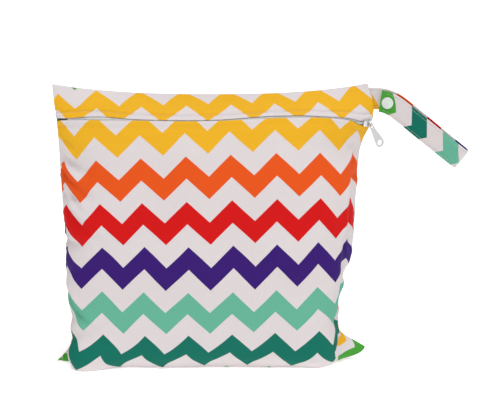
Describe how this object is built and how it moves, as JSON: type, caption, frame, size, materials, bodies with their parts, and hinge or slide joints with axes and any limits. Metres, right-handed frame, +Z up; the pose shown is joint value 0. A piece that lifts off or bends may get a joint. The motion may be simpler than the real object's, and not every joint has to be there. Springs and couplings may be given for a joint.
{
  "type": "cloth diaper wet bag",
  "caption": "Soft zipped cloth bag that stands on its pressed base, with corner ears, a slider with a hinged pull tab and a snapped hang strap at one top corner.",
  "frame": {"origin": "middle of the pressed base, on the surface that the bag stands on", "axes": "+Z up, the zipped front faces -Y, +X towards the hang strap, which is at the right as seen from the front"},
  "size_m": [0.3811, 0.092, 0.2601],
  "materials": {
    "printed_cloth": "laminated knit printed with a seven-colour zigzag on white",
    "zip_tape": "white woven tape",
    "zip_coil": "white nylon coil",
    "slider_metal": "pale enamelled casting",
    "strap_cloth": "the same printed cloth, folded and stitched",
    "snap_plastic": "pale moulded resin"
  },
  "bodies": {
    "bag": {"body_panel": "printed_cloth", "top_strip": "printed_cloth", "zipper_tape_upper": "zip_tape", "zipper_tape_lower": "zip_tape", "zipper_coil": "zip_coil", "zipper_slider": "slider_metal", "hang_strap": "strap_cloth", "snap_socket_side": "snap_plastic", "snap_stud_side": "snap_plastic"},
    "pull": {"pull_tab": "slider_metal"}
  },
  "joints": [
    {"name": "pull_tab_swing", "type": "hinge", "parent": "bag", "child": "pull", "pos_m": [0.14508, -0.00274, 0.22352], "axis": [-0.7456, -0.425, -0.5133], "range_deg": [-12, 150]}
  ]
}
